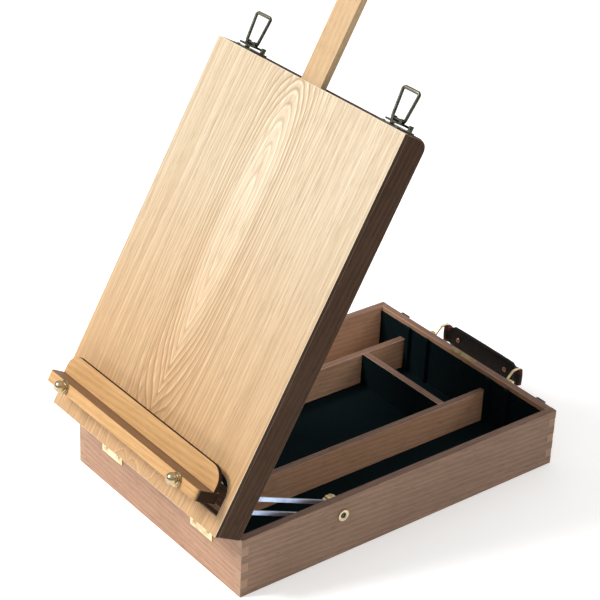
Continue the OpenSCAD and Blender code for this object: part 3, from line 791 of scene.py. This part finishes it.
def strap():
    """The leather strap of the handle: padded faces, pressed lines, red edges, loops at its ends."""
    low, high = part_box("handle_strap")
    middle = (low + high) / 2
    turn = math.pi / 2 / (END_STEPS + 1)
    ends = [STRAP_LOOP + LOOP_THICK * math.sin(a * turn) for a in range(1, END_STEPS + 1)]
    step = 2 * STRAP_LOOP / STRAP_STEPS
    places = [-u for u in reversed(ends)] + [-STRAP_LOOP + i * step for i in range(STRAP_STEPS + 1)] + ends
    bm = bmesh.new()
    rings = []
    for u in places:
        bow = strap_bow(u)
        wear = STRAP_WEAR * mnoise.noise(Vector((u * WEAR_WAVES, *WEAR_PLACE)))
        section = [Vector((u, y + bow, z + wear)) for y, z in strap_section(u)]
        rings.append([bm.verts.new(middle + point * MM) for point in section])
    count = len(rings[0])
    for a, b in zip(rings, rings[1:]):
        for i in range(count):
            j = (i + 1) % count
            face = bm.faces.new((a[i], a[j], b[j], b[i]))
            spot = (face.calc_center_median() - middle) / MM
            loop_edge = abs(spot.x) > STRAP_LOOP - RED_LOOP and abs(spot.z) > RED_LOOP
            under_edge = spot.z < -RED_UNDER and abs(spot.y) < RED_HALF
            face.material_index = 1 if loop_edge or under_edge else 0
    bm.faces.new(rings[0])
    bm.faces.new(rings[-1])
    piece = new_piece("handle_strap_leather", bm)
    finish_mesh(piece, [leather, leather_edge], "handle", smooth_deg=50)
    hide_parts("handle_strap")
    stitches(middle)
    for end, u in (("l", -STRAP_RIVET), ("r", STRAP_RIVET)):
        for face, side in (("in", -1), ("out", 1)):
            seat = middle + Vector((u, side * RIVET_SEAT + STRAP_RIVET_BOW, 0)) * MM
            lathe(f"strap_rivet_{end}_{face}", RIVET_PROFILE, seat, (0, side, 0), [copper],
                  "handle", steps=24)


def stitches(middle):
    """Two rows of sewn thread on each face, one short rounded stitch at a time."""
    bm = bmesh.new()
    lie = Matrix.Rotation(math.pi / 2, 4, "Y") @ Matrix.Diagonal((*STITCH_SIZE, 1))
    for row in (-1, 1):
        for side in (-1, 1):
            for i in range(-STITCHES_EACH_WAY, STITCHES_EACH_WAY + 1):
                u = i * STITCH_GAP
                half_height, half_thick = strap_shape(u)
                out = side * (half_thick - STITCH_DEPTH) + strap_bow(u)
                at = middle + Vector((u, out, row * STITCH_LINE * half_height)) * MM
                bmesh.ops.create_uvsphere(bm, u_segments=8, v_segments=6, radius=MM,
                                          matrix=Matrix.Translation(at) @ lie)
    piece = new_piece("strap_stitching", bm)
    finish_mesh(piece, [thread], "handle", smooth_deg=80)


# ---------------------------------------------------------------- box

for side, sign in SIDES:
    # Painted light: the dividers take the lighter copy.
    tones = [walnut_inside_lit, walnut_long_top_shade, walnut_long_edge]
    divider = softened(f"{side}_divider", BOX_SOFT, tones)
    # Painted shade on the divider's up-facing faces.
    repaint(divider, 1, UP)
    # Painted shade: the walls take the darker copy, except on their inside faces and tops.
    tones = [walnut_side_shade, walnut_inside_lit, walnut_long_top_shade, walnut_long_edge]
    wall = softened(f"{side}_wall", BOX_SOFT, tones)
    # Painted light on the wall's inside face.
    repaint(wall, 1, RIGHT * -sign)
    # Painted shade on the wall's up-facing faces.
    repaint(wall, 2, UP)
softened("box_floor", BOX_SOFT, [walnut_long, walnut_long_edge])
# Painted shade on the up-facing faces of these boards as well.
for node in ("front_wall", "back_wall", "cross_divider"):
    board = softened(node, BOX_SOFT, [walnut_cross, walnut_cross_top_shade, walnut_cross_edge])
    repaint(board, 1, UP)
softened("rim_plate", RIM_SOFT, [dull_brass, dull_brass])
softened("cleats", CLEAT_SOFT, [felt, felt])

for lining, wall in (("floor_felt", "box_floor"), ("front_felt", "front_wall"), ("back_felt", "back_wall"),
                     ("cross_felt", "cross_divider")):
    felt_lining(lining)

# ---------------------------------------------------------------- lid, ledge and mast

panel = softened("lid_panel", PANEL_SOFT, [ash_panel, ash_edge], segments=3)
panel.data.materials.append(rail_long)
rail_middle = middle_of(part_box("right_rail")).x
for face in panel.data.polygons:
    if abs(face.normal.x) > SIDEWAYS and abs(face.center.x) > rail_middle:
        face.material_index = 2
for board in ("left_rail", "right_rail"):
    softened(board, RAIL_SOFT, [rail_long, rail_long_edge])
for board in ("hinge_end_board", "free_end_board", "ledge_batten"):
    softened(board, END_SOFT, [rail_cross, rail_cross_edge])
for stick in ("mast_guides", "mast", "canvas_clamp"):
    softened(stick, STICK_SOFT, [beech_long, beech_long_edge])
softened("mast_bridge", LEDGE_SOFT, [beech_cross, beech_cross_edge], segments=3)
tones = [beech_cross, beech_shelf_shade, edge_shade, beech_cross_edge]
shelf = softened("ledge_base", LEDGE_SOFT, tones, segments=3)
# Painted shade on the face that looks up the lid.
repaint(shelf, 1, ALONG)
# Painted shade: the base's end faces are near black.
repaint(shelf, 2, RIGHT)
repaint(shelf, 2, -RIGHT)
tones = [beech_cross, edge_shade, beech_cross_edge]
strip = softened("ledge_strip", LEDGE_SOFT, tones, segments=3)
# Painted shade: the strip's faces that do not look out from the lid are near black.
for face in strip.data.polygons:
    if abs(face.normal.dot(OUT)) < EDGEWISE:
        face.material_index = 1

# ---------------------------------------------------------------- brass, bronze and steel

for side, _ in SIDES:
    for fitting, width in FITTINGS:
        softened(f"{side}_{fitting}", width, [brass, brass_edge])
    softened(f"{side}_hinge_pin", PLATE_SOFT, [brass, brass_edge])
    for fitting in ("catch_plate", "catch_lever", "keeper"):
        softened(f"{side}_{fitting}", PLATE_SOFT, [old_brass, old_brass_edge])
    softened(f"{side}_stay", PLATE_SOFT, [steel, steel_edge])
for knob in ("mast_lock", "clamp_screw"):
    softened(knob, KNURL_SOFT, [brass, brass_edge])


def ledge_knob(side):
    """The turned knob that clamps one end of the ledge."""
    low, _ = lid_box(f"{side}_ledge_knob")
    middle = middle_of(lid_box(f"{side}_ledge_knob"))
    seat = lid_point(middle.x, middle.y, low.z - KNOB_SEAT)
    knob = lathe(f"{side}_ledge_knob_turned", KNOB_PROFILE, seat, OUT, [knob_brass],
                 f"{side}_ledge_knob_body")
    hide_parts(f"{side}_ledge_knob")


def leaf_screws(side, sign):
    """Four screws in each leaf of one hinge, each turned a little differently."""
    low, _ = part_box(f"{side}_box_leaf")
    middle = middle_of(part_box(f"{side}_box_leaf"))
    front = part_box("front_wall")[0].y
    for i, way in enumerate((-1, 1)):
        x = middle.x + way * LEAF_HALF
        for k, share in enumerate(LEAF_HOLES):
            lean = LEAN_FIRST + LEAN_SIDE * i + LEAN_ROW * k + sign
            place = Vector((x, front + SCREW_OUT, low.z + share * LEAF_HIGH))
            across = RIGHT * math.cos(lean) + UP * math.sin(lean)
            screw(f"{side}_box_leaf_screw_{i}{k}", place, -BACK, across, LEAF_SCREW, brass, "box")
            place = lid_point(x, LID_SCREW_OUT, (1 - share) * LEAF_HIGH)
            lean += LEAN_LID
            across = RIGHT * math.cos(lean) + OUT * math.sin(lean)
            screw(f"{side}_lid_leaf_screw_{i}{k}", place, -ALONG, across, LEAF_SCREW, brass, "lid")


def catch(side):
    """The wire bail and bar of one catch, and the screws of its plate and its keeper."""
    low, _ = lid_box(f"{side}_catch_loop")
    middle = middle_of(lid_box(f"{side}_catch_loop"))
    pivot = low.y + BAIL_PIVOT
    points = [lid_point(middle.x + x * MM, pivot + y * MM, middle.z) for x, y in BAIL_CORNERS]
    bail = wire(f"{side}_catch_bail", points, BAIL_WIRE, old_brass, f"{side}_loop",
                BAIL_CORNER)
    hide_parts(f"{side}_catch_loop")
    bar = lid_point(middle.x, pivot + BAIL_BAR * MM, middle.z)
    lathe(f"{side}_catch_bar", BAR_PROFILE, bar, RIGHT, [old_brass_edge], f"{side}_loop",
          steps=24)

    low, high = lid_box(f"{side}_catch_plate")
    for i, way in enumerate((-1, 1)):
        x = (low.x + high.x) / 2 + way * PLATE_SCREW_SIDE
        place = lid_point(x, low.y + PLATE_SEAT, high.z - PLATE_SCREW_DOWN)
        across = (RIGHT + OUT * way).normalized()
        screw(f"{side}_catch_screw_{i}", place, ALONG, across, CATCH_SCREW, old_brass_edge, "lid")
    low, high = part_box(f"{side}_keeper")
    for i, (x, z) in enumerate(KEEPER_SCREWS):
        place = Vector(((low.x + high.x) / 2 + x, low.y + PLATE_SEAT, low.z + z))
        screw(f"{side}_keeper_screw_{i}", place, BACK, RIGHT, KEEPER_SCREW, old_brass_edge, "box")


def post_screw(side):
    """The screw in the foot of one handle post."""
    low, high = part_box(f"{side}_handle_post")
    place = Vector(((low.x + high.x) / 2, low.y + POST_SEAT, low.z + POST_SCREW_UP))
    screw(f"{side}_handle_screw", place, BACK, RIGHT, POST_SCREW, brass, "box")


def bolt_slot(side, sign):
    """The slotted head of one stay bolt, on the outside of the wall."""
    middle = middle_of(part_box(f"{side}_stay_bolt"))
    wall_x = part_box(f"{side}_wall")[1 if sign > 0 else 0].x
    place = Vector((wall_x + sign * BOLT_SEAT, middle.y, middle.z))
    across = (UP + BACK * BOLT_TURN).normalized()
    screw(f"{side}_stay_bolt_slot", place, (sign, 0, 0), across, BOLT_SLOT, old_brass, "box")


def handle_end(side, sign):
    """The wire ring at one end of the handle, and the pin that it turns on."""
    _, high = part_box(f"{side}_handle_ring")
    hinge = Vector(JOINTS["handle_hinge"]["pos_m"])
    ring_x = sign * STRAP_LOOP * MM
    out = hinge.y + RING_OUT * MM
    far = high.y - RING_WIRE * MM
    corners = [(hinge.y, -RING_END), (out, -RING_HALF), (far, -RING_HALF),
               (far, RING_HALF), (out, RING_HALF), (hinge.y, RING_END)]
    points = [Vector((ring_x, y, hinge.z + z * MM)) for y, z in corners]
    ring = wire(f"{side}_handle_ring_wire", points, RING_WIRE, brass, "handle", RING_CORNER)
    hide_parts(f"{side}_handle_ring")
    lathe(f"{side}_handle_pin", PIN_PROFILE, Vector((ring_x, hinge.y, hinge.z)), (sign, 0, 0), [brass],
          "handle", steps=24)


for side, sign in SIDES:
    ledge_knob(side)
    leaf_screws(side, sign)
    catch(side)
    post_screw(side)
    bolt_slot(side, sign)
    handle_end(side, sign)

strap()

# ---------------------------------------------------------------- floor, light and camera

def area_light(name, place, target, size, power, colour):
    """A round soft light at place, turned to target; metres and watts."""
    data = bpy.data.lights.new(name, "AREA")
    data.shape = "DISK"
    data.size = size
    data.energy = power
    data.color = colour
    lamp = bpy.data.objects.new(name, data)
    lamp.location = place
    lamp.rotation_euler = (Vector(target) - Vector(place)).to_track_quat("-Z", "Y").to_euler()
    bpy.context.scene.collection.objects.link(lamp)


FLOOR_HALF = 25.0
FLOOR_CELLS = 8
FLOOR_GAP = 0.0002
FLOOR_COLOUR = (0.93, 0.93, 0.93)
FLOOR_MOTTLE = (0.9, 0.89, 0.88)
floor_place = Matrix.Translation((0, 0, cad_bounds[0][2] - FLOOR_GAP))
bm = bmesh.new()
bmesh.ops.create_grid(bm, x_segments=FLOOR_CELLS, y_segments=FLOOR_CELLS, size=FLOOR_HALF,
                      matrix=floor_place)
floor = new_piece("floor", bm)
floor.data.materials.append(floor_paint("floor_paint", FLOOR_COLOUR, FLOOR_MOTTLE))

area_light("key", place=(-0.7, -1.55, 1.9), target=(0, 0, 0.15), size=0.75, power=60,
           colour=(1.0, 0.985, 0.96))
area_light("side_fill", place=(1.1, 1.7, 1.5), target=(0.05, 0.05, 0.05), size=0.8, power=5.5,
           colour=(1.0, 0.985, 0.97))

world = bpy.data.worlds.new("studio")
world.use_nodes = True
SKY_STOPS = ((0.0, (0.32, 0.31, 0.3)), (0.35, (0.5, 0.5, 0.5)), (0.6, (1, 1, 1)))
SKY_STRENGTH = 0.75
sky_tree = world.node_tree
background = sky_tree.nodes["Background"]
direction = add(sky_tree, "TexCoord").outputs["Generated"]
height = add(sky_tree, "SeparateXYZ", {"Vector": direction}).outputs[2]
sky_tree.links.new(ramp(sky_tree, height, SKY_STOPS), background.inputs["Color"])
background.inputs["Strength"].default_value = SKY_STRENGTH
bpy.context.scene.world = world
bpy.context.scene.view_settings.view_transform = "Standard"

CAMERA_AT = Vector((1.26275, -1.06358, 1.09473))
CAMERA_AZIMUTH = math.radians(50.79)
CAMERA_ELEVATION = math.radians(28.76)
CAMERA_ROLL = math.radians(2.83)
SENSOR_MM = 36
FOCAL_MM = 114.8
CLIP_END = 100
lens = bpy.data.cameras.new("photo_view")
lens.sensor_width = SENSOR_MM
lens.lens = FOCAL_MM
lens.clip_end = CLIP_END
forward = Vector((-math.sin(CAMERA_AZIMUTH) * math.cos(CAMERA_ELEVATION),
                  math.cos(CAMERA_AZIMUTH) * math.cos(CAMERA_ELEVATION), -math.sin(CAMERA_ELEVATION)))
level = forward.cross(UP).normalized()
above = level.cross(forward)
right = level * math.cos(CAMERA_ROLL) + above * math.sin(CAMERA_ROLL)
top = above * math.cos(CAMERA_ROLL) - level * math.sin(CAMERA_ROLL)
camera = bpy.data.objects.new("photo_view", lens)
camera.matrix_world = Matrix((right, top, -forward)).transposed().to_4x4()
camera.location = CAMERA_AT
bpy.context.scene.collection.objects.link(camera)
bpy.context.scene.camera = camera
